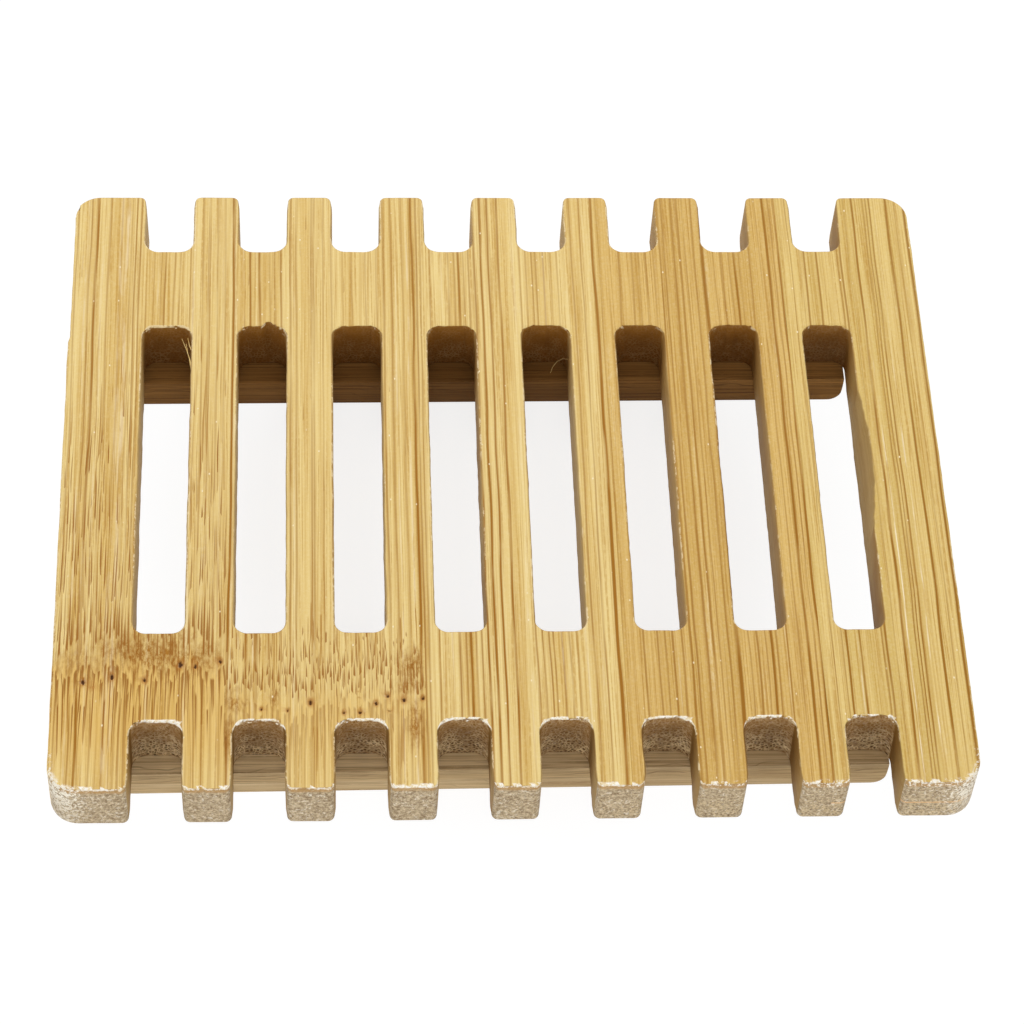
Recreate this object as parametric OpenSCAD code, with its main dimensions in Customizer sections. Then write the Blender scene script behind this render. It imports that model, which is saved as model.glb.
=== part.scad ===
// Slatted bamboo soap dish.
// A comb-ended plate, edge-glued from five bamboo strips, stands on two cross runners glued underneath.
// The strips run front to back (Y), the runners run left to right (X), and the dish rests on Z = 0.
// The origin is under the middle of the plate. The front is at -Y.

/* [Plate] */
// Width of the plate, across its slats
plate_w = 110; // [90:1:130]
// Length of the plate, along its slats
plate_l = 91.2; // [84:0.4:110]
// Thickness of the plate
plate_t = 7.5; // [5:0.1:12]
// Radius of the plate's four corners, seen from above
corner_r = 3.6; // [1.5:0.1:4.6]
// Bevel on the rims of the plate, its slots and its notches
edge_ease = 0.4; // [0.2:0.1:0.9]

/* [Slots and notches] */
// Width of the slots, and of the notches in line with them at both ends of the plate
slot_w = 6.2; // [4:0.1:8]
// Length of a slot
slot_l = 47; // [36:1:60]
// Depth of a notch
notch_l = 9.4; // [6:0.2:14]
// Radius of the corners inside the slots
slot_r = 1.6; // [0.5:0.1:2.9]
// Radius of the corners inside the notches
notch_r = 1.8; // [0.5:0.1:2.9]
// Radius of the corners at the tips of the teeth between the notches
tip_r = 1.2; // [0.7:0.1:2.2]

/* [Slats and strips] */
// Width of the outermost slat on either side, between which the slots are spread evenly
edge_slat_w = 9.55; // [8:0.05:14]
// Distance from the first glue line to the slot on its right
glue_setback = 1.05; // [0.4:0.05:2.5]
// How much each glue line lies further from its slot than the one before it
strip_creep = 0.3; // [0:0.05:0.5]
// Thickness of the upper of the two plies of the right edge strip
top_ply_t = 4.3; // [2:0.1:6]

/* [Runners] */
// Distance from the plate's left side to the left ends of the runners
runner_left_gap = 7.7; // [1:0.1:20]
// Distance from the plate's right side to the right ends of the runners
runner_right_gap = 9.7; // [1:0.1:20]
// Width of a runner, along the slats
runner_w = 18; // [10:0.2:22]
// Height of a runner, which is how far the plate stands off
runner_h = 4.5; // [3:0.1:10]
// How far the middle of a runner lies inward of the middle of the solid band above it
runner_inset = 0.4; // [-3:0.1:3]
// Radius of the lower corners at the ends of a runner
runner_end_r = 1.8; // [0.8:0.1:2.8]
// Radius of the long lower edges of a runner
runner_edge_r = 0.3; // [0.2:0.1:2]
// Turn of the front runner out of square, in degrees, as it is glued on
front_runner_turn = 0.4; // [-1:0.1:1]
// Turn of the rear runner out of square, in degrees, as it is glued on
rear_runner_turn = 0.3; // [-1:0.1:1]

/* [Hidden] */
$fn = 48;

// How far a cutter or a dividing box reaches past the faces that it cuts
overrun = 1;
// Heights of the plate's two faces and of the glue line between the right edge strip's plies
plate_z = runner_h;
top_z = plate_z + plate_t;
ply_z = top_z - top_ply_t;
// Number of glue lines between the five strips, and of slots, of which there are two to a glue line
glue_count = 4;
slot_count = 2 * glue_count;
// Middle of each slot, and the left and right side of each slat
slot_pitch = (plate_w - 2 * edge_slat_w - slot_w) / (slot_count - 1);
slot_x = [for (i = [0:slot_count - 1]) (i - (slot_count - 1) / 2) * slot_pitch];
slat_x0 = concat([-plate_w / 2], [for (x = slot_x) x + slot_w / 2]);
slat_x1 = concat([for (x = slot_x) x - slot_w / 2], [plate_w / 2]);
// Glue lines, one to the left of every second slot
glue_lines = [for (k = [0:glue_count - 1]) slat_x1[2 * k + 1] - glue_setback - k * strip_creep];
// Largest share of a slat's width that the radius of one corner may take
corner_limit_share = 0.48;
// Width of the solid band between slots and notches, and the middle of the runner under it
band_w = (plate_l - slot_l) / 2 - notch_l;
runner_x = (runner_left_gap - runner_right_gap) / 2;
runner_y = (slot_l + band_w) / 2 - runner_inset;
// Length of a runner, across the slats
runner_l = plate_w - runner_left_gap - runner_right_gap;
// How far a bridge between two slats reaches into each of them
bridge_seat = 2 * edge_ease;
bridge_reach = slot_w / 2 + bridge_seat;

// Half of a section through a bar of the plate: its side is at reach, with both rims bevelled
function bevelled_half(reach) = [
    [0, plate_z],
    [reach - edge_ease, plate_z],
    [reach, plate_z + edge_ease],
    [reach, top_z - edge_ease],
    [reach - edge_ease, top_z],
    [0, top_z]
];

// Half of a section through an opening: its wall is at reach, flaring at both faces and on past them
function flared_half(reach) = [
    [0, plate_z - overrun],
    [reach + edge_ease + overrun, plate_z - overrun],
    [reach, plate_z + edge_ease],
    [reach, top_z - edge_ease],
    [reach + edge_ease + overrun, top_z + overrun],
    [0, top_z + overrun]
];

// Both halves of a section
module whole(half) {
    polygon(half);
    mirror([1, 0]) polygon(half);
}

// Half of a slat, from its middle line to its right side, with that side's corner radius
module half_slat(reach, r) {
    for (end = [-1, 1])
        translate([reach - r, end * (plate_l / 2 - r), 0])
            rotate_extrude() polygon(bevelled_half(r));
    rotate([90, 0, 0])
        linear_extrude(height = plate_l - 2 * r, center = true) polygon(bevelled_half(reach));
    rotate([90, 0, 90])
        linear_extrude(height = reach - r) whole(bevelled_half(plate_l / 2));
}

// A slat from x0 to x1, with the radius of its left and of its right corners
module slat(x0, x1, r_left, r_right) {
    limit = corner_limit_share * (x1 - x0);
    translate([(x0 + x1) / 2, 0, 0]) {
        half_slat((x1 - x0) / 2, min(r_right, limit));
        mirror([1, 0, 0]) half_slat((x1 - x0) / 2, min(r_left, limit));
    }
}

// An opening through the plate with corners of radius r in plan and flared rims
module opening(length, r) {
    for (side = [-1, 1], end = [-1, 1])
        translate([side * (slot_w / 2 - r), end * (length / 2 - r), 0])
            rotate_extrude() polygon(flared_half(r));
    rotate([90, 0, 0])
        linear_extrude(height = length - 2 * r, center = true) whole(flared_half(slot_w / 2));
    rotate([90, 0, 90])
        linear_extrude(height = slot_w - 2 * r, center = true) whole(flared_half(length / 2));
}

// The two bridges that join the slats on either side of a slot, one at each of its ends
module bridges(x) {
    for (end = [0, 180])
        translate([x, 0, 0]) rotate(end)
            difference() {
                translate([-bridge_reach, slot_l / 2 - slot_r, plate_z])
                    cube([2 * bridge_reach, slot_r + band_w + notch_r, plate_t]);
                opening(slot_l, slot_r);
                translate([0, plate_l / 2, 0]) opening(2 * notch_l, notch_r);
            }
}

// The slats and bridges of the plate that reach between x0 and x1
module plate(x0, x1) {
    for (i = [0:slot_count])
        if (slat_x1[i] > x0 && slat_x0[i] < x1)
            slat(
                slat_x0[i],
                slat_x1[i],
                i == 0 ? corner_r : tip_r,
                i == slot_count ? corner_r : tip_r
            );
    for (x = slot_x)
        if (x + bridge_reach > x0 && x - bridge_reach < x1) bridges(x);
}

// The part of the plate between two glue lines, from height z0 to height z1
module strip(x0, x1, z0, z1) {
    intersection() {
        plate(x0, x1);
        translate([x0, -plate_l / 2 - overrun, z0]) cube([x1 - x0, plate_l + 2 * overrun, z1 - z0]);
    }
}

// A runner lying along X on Z = 0, with its lower end corners and its long lower edges rounded
module runner() {
    intersection() {
        rotate([90, 0, 0])
            linear_extrude(height = runner_w + 2 * overrun, center = true)
                rounded_foot(runner_l, runner_end_r, runner_h);
        rotate([90, 0, 90])
            linear_extrude(height = runner_l + 2 * overrun, center = true)
                rounded_foot(runner_w, runner_edge_r, runner_h);
    }
}

// A rectangle standing on its long side, its two lower corners rounded
module rounded_foot(w, r, h) {
    for (side = [-1, 1]) translate([side * (w / 2 - r), r]) circle(r);
    translate([-w / 2, r]) square([w, h - r]);
    translate([-w / 2 + r, 0]) square([w - 2 * r, h]);
}

module left_edge_strip() {
    color("#c99c55") strip(-plate_w / 2 - overrun, glue_lines[0], plate_z - overrun, top_z + overrun);
}

module left_inner_strip() {
    color("#d3a862") strip(glue_lines[0], glue_lines[1], plate_z - overrun, top_z + overrun);
}

module middle_strip() {
    color("#dfba77") strip(glue_lines[1], glue_lines[2], plate_z - overrun, top_z + overrun);
}

module right_inner_strip() {
    color("#d1aa65") strip(glue_lines[2], glue_lines[3], plate_z - overrun, top_z + overrun);
}

module right_edge_top_ply() {
    color("#d9b674") strip(glue_lines[3], plate_w / 2 + overrun, ply_z, top_z + overrun);
}

module right_edge_bottom_ply() {
    color("#b8935b") strip(glue_lines[3], plate_w / 2 + overrun, plate_z - overrun, ply_z);
}

module front_runner() {
    color("#a07d4c") translate([runner_x, -runner_y, 0]) rotate(front_runner_turn) runner();
}

module rear_runner() {
    color("#a07d4c") translate([runner_x, runner_y, 0]) rotate(rear_runner_turn) runner();
}

left_edge_strip();
left_inner_strip();
middle_strip();
right_inner_strip();
right_edge_top_ply();
right_edge_bottom_ply();
front_runner();
rear_runner();
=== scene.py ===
"""Looks of the slatted bamboo soap dish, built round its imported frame. Lengths are in metres."""
import math

import bmesh
import bpy
from mathutils import Matrix, Vector


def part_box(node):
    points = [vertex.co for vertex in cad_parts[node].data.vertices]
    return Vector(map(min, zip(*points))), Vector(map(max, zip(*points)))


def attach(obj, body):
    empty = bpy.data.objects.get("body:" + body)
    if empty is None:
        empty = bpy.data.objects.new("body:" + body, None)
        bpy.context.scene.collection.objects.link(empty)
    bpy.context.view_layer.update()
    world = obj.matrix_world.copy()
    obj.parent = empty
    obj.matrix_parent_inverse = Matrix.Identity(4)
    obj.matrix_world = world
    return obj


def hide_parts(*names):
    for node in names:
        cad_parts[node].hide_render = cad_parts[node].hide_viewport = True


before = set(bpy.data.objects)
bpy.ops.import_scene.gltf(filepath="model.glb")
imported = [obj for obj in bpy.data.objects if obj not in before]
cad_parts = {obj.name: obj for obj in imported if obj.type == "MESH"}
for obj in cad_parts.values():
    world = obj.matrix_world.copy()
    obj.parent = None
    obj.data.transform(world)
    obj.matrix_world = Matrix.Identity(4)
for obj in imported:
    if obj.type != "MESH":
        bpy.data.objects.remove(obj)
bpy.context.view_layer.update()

MM = 0.001
TINY = 0.01 * MM
AXES = {"X": Vector((1, 0, 0)), "Y": Vector((0, 1, 0)), "Z": Vector((0, 0, 1))}

# The board, as its strips leave it
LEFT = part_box("left_edge_strip")[0].x
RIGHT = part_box("right_edge_top_ply")[1].x
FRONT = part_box("middle_strip")[0].y
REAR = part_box("middle_strip")[1].y
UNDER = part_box("middle_strip")[0].z
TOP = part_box("middle_strip")[1].z
PLY_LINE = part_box("right_edge_bottom_ply")[1].z
GLUE_LINES = [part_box(name)[1].x for name in
              ("left_edge_strip", "left_inner_strip", "middle_strip", "right_inner_strip")]

# The openings routed through it
SLOT_COUNT = 8
EDGE_SLAT_WIDTH = 9.55 * MM
SLOT_WIDTH = 6.2 * MM
SLOT_END = 23.5 * MM
NOTCH_END = 36.2 * MM
SLOT_CORNER = 1.6 * MM
NOTCH_CORNER = 1.8 * MM
TOOTH_CORNER = 0.9 * MM
PLATE_CORNER = 3.6 * MM
PITCH = (RIGHT - LEFT - 2 * EDGE_SLAT_WIDTH - SLOT_WIDTH) / (SLOT_COUNT - 1)
SLOT_MIDDLES = [LEFT + EDGE_SLAT_WIDTH + SLOT_WIDTH / 2 + i * PITCH for i in range(SLOT_COUNT)]
WALLS = sorted(x + side * SLOT_WIDTH / 2 for x in SLOT_MIDDLES for side in (-1, 1))

# Its rounded rims, and how far below the top their vertices are found
RIM = 0.3 * MM
RIM_REACH = 1.2 * RIM
WORN_RIM_REACH = 0.5 * MM
RIM_CUTS = 2

# Spacing of the cuts that let the rims and walls be worn unevenly
CUT_SPACING = 0.9 * MM

# The outer sides, which wear inwards only, lie this near the outline. The left one steps in at its rear.
SIDE_BAND = 1.5 * MM
STEP_BAND = 0.8 * MM
STEP_START = 21.5 * MM
STEP_DEPTH = 0.22 * MM

# The nick in the rear end of the second slot, pushed in by steps: (half-width, depth)
NICK = Vector((-29.4, 23.5)) * MM
NICK_HALF_LENGTH = 1.2 * MM
NICK_STEPS = ((0.9 * MM, 0.25 * MM), (0.5 * MM, 0.4 * MM))

# The sliver torn off the last slat, beside the eighth slot: each step is as deep and reaches less far
SLIVER_MIDDLE = 2.5 * MM
SLIVER_HALF_WIDTH = 0.6 * MM
SLIVER_STEP = 0.15 * MM
SLIVER_REACHES = [reach * MM for reach in (10.5, 9, 7.5, 6, 4.5)]

# The pits left by the roots of the knuckles, pressed in by rings of these shares of their half-width
PIT_DEPTH = 0.3 * MM
PIT_STRETCH = 1.6
PIT_CUTS = 4
PIT_RINGS = (1.0, 0.75, 0.45)
HALO_REACH = 2
HALO_SHADE = 0.3

# The loose fibres along the slots
SPLINTER_WIDTH = 0.12 * MM
SPLINTER_TAPER = 0.75

# The cross runners
RUNNER_WIDTH = 18 * MM
RUNNER_END_CORNER = 1.8 * MM
RUNNER_EDGE = 0.3 * MM
RUNNER_CUT_SPACING = 1.5 * MM


# --- modelling by hand ---

def choose(*pieces):
    """Selects only these pieces and makes the last one active."""
    bpy.ops.object.select_all(action="DESELECT")
    for piece in pieces:
        piece.select_set(True)
    bpy.context.view_layer.objects.active = pieces[-1]


def edit(piece):
    """Opens a piece for editing."""
    choose(piece)
    bpy.ops.object.mode_set(mode="EDIT")


def close(piece):
    """Ends the editing of a piece."""
    bpy.ops.object.mode_set(mode="OBJECT")
    return piece


def pick(piece, kind, test):
    """Selects the vertices, edges or faces of the piece being edited that pass a test."""
    bpy.ops.mesh.select_mode(type=kind)
    bpy.ops.mesh.select_all(action="DESELECT")
    mesh = bmesh.from_edit_mesh(piece.data)
    elements = {"VERT": mesh.verts, "EDGE": mesh.edges, "FACE": mesh.faces}[kind]
    for element in elements:
        if test(element):
            element.select_set(True)
    mesh.select_flush_mode()
    bmesh.update_edit_mesh(piece.data)


def shift(x=0.0, y=0.0, z=0.0):
    """Moves what is picked."""
    bpy.ops.transform.translate(value=(x, y, z))


def slice_at(axis, places):
    """Cuts all of the piece being edited across an axis at each place."""
    for place in places:
        bpy.ops.mesh.select_all(action="SELECT")
        bpy.ops.mesh.bisect(plane_co=AXES[axis] * place, plane_no=AXES[axis])


def trim(axis, place, keep):
    """Cuts the piece being edited at a place, keeps the lower or upper side and closes the cut."""
    bpy.ops.mesh.select_all(action="SELECT")
    bpy.ops.mesh.bisect(plane_co=AXES[axis] * place, plane_no=AXES[axis], use_fill=True,
                        clear_outer=keep == "lower", clear_inner=keep == "upper")


def round_off(radius, segments):
    """Rounds the picked edges."""
    bpy.ops.mesh.bevel(offset=radius, offset_type="OFFSET", segments=segments, profile=0.5)


def turn_outward():
    """Makes all faces of the piece being edited face outward."""
    bpy.ops.mesh.select_all(action="SELECT")
    bpy.ops.mesh.normals_make_consistent(inside=False)


def near(a, b):
    return abs(a - b) < TINY


def stands_at(edge, xs, ys):
    """True for an upright edge at one of the places xs and one of the places ys."""
    a, b = (v.co for v in edge.verts)
    return (near(a.x, b.x) and near(a.y, b.y) and not near(a.z, b.z)
            and any(near(a.x, x) for x in xs) and any(near(abs(a.y), y) for y in ys))


def spaced(low, high, gap):
    """Places between low and high, about a gap apart, without the ends."""
    count = round((high - low) / gap)
    return [low + (high - low) * i / count for i in range(1, count)]


def wear(piece, group, size, depth, name, level):
    """Makes the vertices of a group uneven. At level 1 it only eats inwards, at 0.5 it goes both ways."""
    texture = bpy.data.textures.new(name, "CLOUDS")
    texture.noise_scale = size
    texture.noise_depth = 2
    worn = piece.modifiers.new(name, "DISPLACE")
    worn.texture = texture
    worn.texture_coords = "LOCAL"
    worn.direction = "NORMAL"
    worn.mid_level = level
    worn.strength = depth
    worn.vertex_group = group
    bpy.ops.object.modifier_apply(modifier=name)


def group_where(piece, name, weight):
    """Makes a vertex group whose weight is given by each vertex's place and normal."""
    group = piece.vertex_groups.new(name=name)
    for vertex in piece.data.vertices:
        group.add([vertex.index], max(0.0, min(1.0, weight(vertex.co, vertex.normal))), "REPLACE")


def soften(piece):
    """Shades a piece smooth, but for its sharp edges."""
    choose(piece)
    bpy.ops.object.shade_smooth_by_angle(angle=math.radians(50))


# --- the board and its strips ---

def routed_board():
    """The whole board with its slots and notches routed, its corners rounded and its rims eased."""
    bpy.ops.mesh.primitive_plane_add(size=1, location=(0, 0, 0))
    board = bpy.context.object
    board.name = "board"
    edit(board)
    bpy.ops.transform.resize(value=(RIGHT - LEFT, REAR - FRONT, 1))
    shift((LEFT + RIGHT) / 2, (FRONT + REAR) / 2, UNDER)
    slice_at("X", WALLS)
    slice_at("Y", [-NOTCH_END, -SLOT_END, 0, SLOT_END, NOTCH_END])

    def in_opening(face):
        x, y = face.calc_center_median()[:2]
        in_line = any(abs(x - middle) < SLOT_WIDTH / 2 for middle in SLOT_MIDDLES)
        return in_line and (abs(y) < SLOT_END or abs(y) > NOTCH_END)

    pick(board, "FACE", in_opening)
    bpy.ops.mesh.delete(type="FACE")
    for side in (-1, 1):
        pick(board, "FACE", lambda face: face.calc_center_median().y * side > 0)
        bpy.ops.mesh.dissolve_faces()
    bpy.ops.mesh.select_all(action="SELECT")
    bpy.ops.mesh.extrude_region_move(TRANSFORM_OT_translate={"value": (0, 0, TOP - UNDER)})
    turn_outward()

    for radius, segments, xs, ys in (
        (SLOT_CORNER, 8, WALLS, [SLOT_END]),
        (NOTCH_CORNER, 8, WALLS, [NOTCH_END]),
        (TOOTH_CORNER, 6, WALLS, [REAR]),
        (PLATE_CORNER, 10, [LEFT, RIGHT], [REAR]),
    ):
        pick(board, "EDGE", lambda edge: stands_at(edge, xs, ys))
        round_off(radius, segments)

    def on_rim(edge):
        flat = [abs(face.normal.z) > 0.5 for face in edge.link_faces]
        return flat.count(True) == 1 and flat.count(False) == 1

    pick(board, "EDGE", on_rim)
    round_off(RIM, 3)
    slice_at("Y", spaced(FRONT, REAR, CUT_SPACING))
    slice_at("X", spaced(LEFT, RIGHT, CUT_SPACING))

    def forward_rim(edge):
        a, b = (v.co for v in edge.verts)
        middle = (a + b) / 2
        by_rim = any(abs(middle.y - y) < 1.5 * RIM for y in (FRONT, -NOTCH_END, SLOT_END))
        return by_rim and middle.z > TOP - RIM_REACH and abs(a.x - b.x) > RIM

    pick(board, "EDGE", forward_rim)
    bpy.ops.mesh.subdivide(number_cuts=RIM_CUTS)
    return close(board)


def wear_board(board):
    """Makes the walls and rims of the board slightly wavy, as routing and handling leave them."""
    def upright(normal):
        return 1 - abs(normal.z) ** 3 if abs(normal.z) < 0.995 else 0

    def outside(place, normal):
        edge = min(place.x - LEFT, RIGHT - place.x, place.y - FRONT, REAR - place.y)
        return upright(normal) if edge < SIDE_BAND else 0

    def inside(place, normal):
        return upright(normal) - outside(place, normal)

    def torn(place, normal):
        return 1 if normal.y < -0.3 and normal.z > 0.2 and place.z > TOP - RIM_REACH else 0

    group_where(board, "outside", outside)
    group_where(board, "inside", inside)
    bpy.context.view_layer.objects.active = board
    wear(board, "outside", 5 * MM, 0.2 * MM, "wavy_sides", 1)
    wear(board, "inside", 5 * MM, 0.18 * MM, "wavy_walls", 0.5)
    wear(board, "outside", 0.9 * MM, 0.06 * MM, "chipped_sides", 1)
    wear(board, "inside", 0.9 * MM, 0.1 * MM, "chipped_walls", 0.5)
    group_where(board, "torn", torn)
    wear(board, "torn", 0.4 * MM, 0.22 * MM, "torn_rims", 0.8)
    edit(board)
    pick(board, "VERT", lambda vertex: vertex.co.x < LEFT + STEP_BAND and vertex.co.y > STEP_START)
    shift(x=STEP_DEPTH)
    break_out(board)
    # The waves must not lift the rims off the board's two flat faces
    for face in (UNDER, TOP):
        pick(board, "VERT", lambda vertex: abs(vertex.co.z - face) < 0.1 * RIM)
        bpy.ops.transform.resize(value=(1, 1, 0), center_override=(0, 0, face))
    close(board)


def break_out(board):
    """Breaks the nick and the sliver out of the top edges of the board."""
    def at_top(vertex, x, y, half_width, half_length):
        return (vertex.co.z > TOP - WORN_RIM_REACH and abs(vertex.co.x - x) < half_width
                and abs(vertex.co.y - y) < half_length)

    for half_width, depth in NICK_STEPS:
        pick(board, "VERT", lambda vertex: at_top(vertex, NICK.x, NICK.y, half_width, NICK_HALF_LENGTH))
        shift(y=depth)
    edge = WALLS[-1]
    for reach in SLIVER_REACHES:
        pick(board, "VERT", lambda vertex: at_top(vertex, edge, SLIVER_MIDDLE, SLIVER_HALF_WIDTH, reach))
        shift(x=SLIVER_STEP)
        edge += SLIVER_STEP


def strip_of(board, name, left=None, right=None, low=None, high=None):
    """Cuts one strip, or one ply of a strip, out of a copy of the board."""
    strip = board.copy()
    strip.data = board.data.copy()
    strip.name = strip.data.name = name
    bpy.context.collection.objects.link(strip)
    edit(strip)
    for axis, place, keep in (("X", left, "upper"), ("X", right, "lower"),
                              ("Z", low, "upper"), ("Z", high, "lower")):
        if place is not None:
            trim(axis, place, keep)
    return close(strip)


def bore_pits(strip, pits):
    """Sinks the small pits of a knuckle into the top of a strip: (x, y, half-width) in millimetres."""
    def share_of(place, pit):
        """How far a place lies from the middle of a pit, as a share of its half-width."""
        x, y, half = pit
        return math.hypot(place.x / MM - x, (place.y / MM - y) / PIT_STRETCH) / half

    def on_top(face):
        return face.normal.z > 0.9 and near(face.calc_center_median().z, TOP)

    edit(strip)
    for pit in pits:
        half = pit[2] * MM
        reach = (half + CUT_SPACING / 2) / half
        pick(strip, "FACE", lambda face: on_top(face) and share_of(face.calc_center_median(), pit) < reach)
        bpy.ops.mesh.subdivide(number_cuts=PIT_CUTS)
        for ring in PIT_RINGS:
            pick(strip, "VERT",
                 lambda vertex: share_of(vertex.co, pit) < ring and vertex.co.z > TOP - PIT_DEPTH)
            shift(z=-PIT_DEPTH / len(PIT_RINGS))
    close(strip)
    shade = strip.data.attributes.new("hollow", "FLOAT", "POINT")
    for vertex in strip.data.vertices:
        away = min(share_of(vertex.co, pit) for pit in pits)
        if away < HALO_REACH and vertex.co.z > TOP - 1.1 * PIT_DEPTH:
            depth = (TOP - vertex.co.z) / PIT_DEPTH
            shade.data[vertex.index].value = min(1.0, max(HALO_SHADE * (HALO_REACH - away), depth))


def raise_splinter(strip, path):
    """Joins to a strip one fibre torn loose along a path of (x, y, depth below the top) in millimetres."""
    points = [Vector((x, y, TOP / MM - depth)) * MM for x, y, depth in path]
    bpy.ops.mesh.primitive_plane_add(size=SPLINTER_WIDTH, location=(0, 0, 0))
    splinter = bpy.context.object
    edit(splinter)
    bpy.ops.transform.rotate(value=math.radians(90), orient_axis="X", center_override=(0, 0, 0))
    shift(*points[0])
    for start, end in zip(points, points[1:]):
        bpy.ops.mesh.extrude_region_move(TRANSFORM_OT_translate={"value": end - start})
        bpy.ops.transform.resize(value=(SPLINTER_TAPER,) * 3, center_override=end)
    turn_outward()
    close(splinter)
    choose(splinter, strip)
    bpy.ops.object.join()


def runner(name, node, turn):
    """A cross runner: a bar with its lower ends rounded and its long lower edges eased."""
    low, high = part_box(node)
    length = high.x - low.x
    bpy.ops.mesh.primitive_cube_add(size=1, location=(0, 0, 0))
    bar = bpy.context.object
    bar.name = bar.data.name = name
    edit(bar)
    bpy.ops.transform.resize(value=(length, RUNNER_WIDTH, high.z - low.z))

    def lower_end(edge):
        a, b = (v.co for v in edge.verts)
        return a.z < 0 and b.z < 0 and abs(a.y - b.y) > MM

    def lower_side(edge):
        a, b = (v.co for v in edge.verts)
        return (near(abs(a.y), RUNNER_WIDTH / 2) and near(abs(b.y), RUNNER_WIDTH / 2) and near(a.y, b.y)
                and (a.z < 0 or b.z < 0) and not (near(a.x, b.x) and abs(a.x) > length / 2 - TINY))

    pick(bar, "EDGE", lower_end)
    round_off(RUNNER_END_CORNER, 8)
    pick(bar, "EDGE", lower_side)
    round_off(RUNNER_EDGE, 3)
    slice_at("X", spaced(-length / 2, length / 2, RUNNER_CUT_SPACING))
    slice_at("Y", spaced(-RUNNER_WIDTH / 2, RUNNER_WIDTH / 2, RUNNER_CUT_SPACING))
    close(bar)
    bar.rotation_euler.z = turn
    bar.location = (low + high) / 2
    bpy.ops.object.transform_apply(location=True, rotation=True, scale=True)
    soften(bar)
    return bar


# --- tools for the finishes, in which lengths are in millimetres ---

def srgb(*rgb):
    """The linear colour of three 0 to 255 display values."""
    return tuple(c / 255 / 12.92 if c <= 10 else ((c / 255 + 0.055) / 1.055) ** 2.4 for c in rgb) + (1.0,)


def connect(node, inputs):
    """Gives a node's inputs, named or numbered, a value or another node's output. Returns its outputs."""
    for key, value in inputs.items():
        if isinstance(value, bpy.types.NodeSocket):
            node.id_data.links.new(value, node.inputs[key])
        else:
            node.inputs[key].default_value = value
    return node.outputs


def add(tree, kind, inputs=None, **settings):
    """Adds a shader node with these inputs and settings, and returns its outputs."""
    node = tree.nodes.new("ShaderNode" + kind)
    for key, value in settings.items():
        setattr(node, key, value)
    return connect(node, inputs or {})


def follow(kind, inputs, **settings):
    """Adds a shader node to the tree that its inputs come from, and returns its outputs."""
    tree = next(value.id_data for value in inputs.values() if isinstance(value, bpy.types.NodeSocket))
    return add(tree, kind, inputs, **settings)


def calc(operation, *values):
    return follow("Math", dict(enumerate(values)), operation=operation)[0]


def in_turn(operation, total, *values):
    for value in values:
        total = calc(operation, total, value)
    return total


def plus(*values):
    return in_turn("ADD", *values)


def minus(a, b):
    return calc("SUBTRACT", a, b)


def times(*values):
    return in_turn("MULTIPLY", *values)


def larger(*values):
    return in_turn("MAXIMUM", *values)


def absolute(value):
    return calc("ABSOLUTE", value)


def remap(value, low, high, to_low=0.0, to_high=1.0):
    """Passes smoothly from one amount to another while a value goes from low to high."""
    amounts = {"Value": value, "From Min": low, "From Max": high, "To Min": to_low, "To Max": to_high}
    return follow("MapRange", amounts, interpolation_type="SMOOTHSTEP")[0]


def blend(factor, under, over, mode="MIX"):
    return follow("Mix", {0: factor, 6: under, 7: over}, data_type="RGBA", blend_type=mode)[2]


def stretched(vector, x, y, z):
    return follow("VectorMath", {0: vector, 1: (x, y, z)}, operation="MULTIPLY")[0]


def moved(vector, by):
    return follow("VectorMath", {0: vector, 1: by})[0]


def joined(x=0.0, y=0.0, z=0.0):
    return follow("CombineXYZ", {0: x, 1: y, 2: z})[0]


def parts_of(vector):
    return follow("SeparateXYZ", {0: vector})


def length_of(vector):
    return follow("VectorMath", {0: vector}, operation="LENGTH")["Value"]


def facing(tree):
    """The parts of the surface's normal."""
    return parts_of(add(tree, "NewGeometry")["Normal"])


def noise(vector, scale, detail=2.0, roughness=0.5):
    sizes = {"Vector": vector, "Scale": scale, "Detail": detail, "Roughness": roughness}
    return follow("TexNoise", sizes)["Fac"]


def stretched_noise(vector, x, y, z, detail=2, roughness=0.5):
    return noise(stretched(vector, x, y, z), 1.0, detail, roughness)


def grey(level):
    return level, level, level, 1


def ramp(value, stops):
    outputs = follow("ValToRGB", {"Fac": value})
    bar = outputs[0].node.color_ramp
    while len(bar.elements) < len(stops):
        bar.elements.new(0.5)
    for element, (place, colour) in zip(bar.elements, stops):
        element.position = place
        element.color = colour
    return outputs["Color"]


def new_group(name, numbers, results):
    """A node group that takes a vector and numbers and gives numbers: its tree, inputs and output node."""
    tree = bpy.data.node_groups.new(name, "ShaderNodeTree")
    tree.interface.new_socket(name="Vector", in_out="INPUT", socket_type="NodeSocketVector")
    for labels, way in ((numbers, "INPUT"), (results, "OUTPUT")):
        for label in labels:
            tree.interface.new_socket(name=label, in_out=way, socket_type="NodeSocketFloat")
    return tree, tree.nodes.new("NodeGroupInput").outputs, tree.nodes.new("NodeGroupOutput")


def use(tree, group, inputs):
    """Places a node group in a material."""
    node = tree.nodes.new("ShaderNodeGroup")
    node.node_tree = group
    return connect(node, inputs)


def shaped_cells(vector, width, length, height):
    """Voronoi cells of a given size: the offset from the cell's middle, its random colour, its distance."""
    spread = stretched(vector, 1 / width, 1 / length, 1 / height)
    cells = follow("TexVoronoi", {"Vector": spread, "Scale": 1.0})
    away = follow("VectorMath", {0: spread, 1: cells["Position"]}, operation="SUBTRACT")[0]
    chance = follow("SeparateColor", {0: cells["Color"]})
    return parts_of(away), chance, cells["Distance"]


# --- node groups shared by the finishes ---

# Width of the fibre bundles, and the length over which bundles and fine lines run on
BUNDLE = 0.44
BUNDLE_RUN = 60
LINE_RUN = 200

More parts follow.
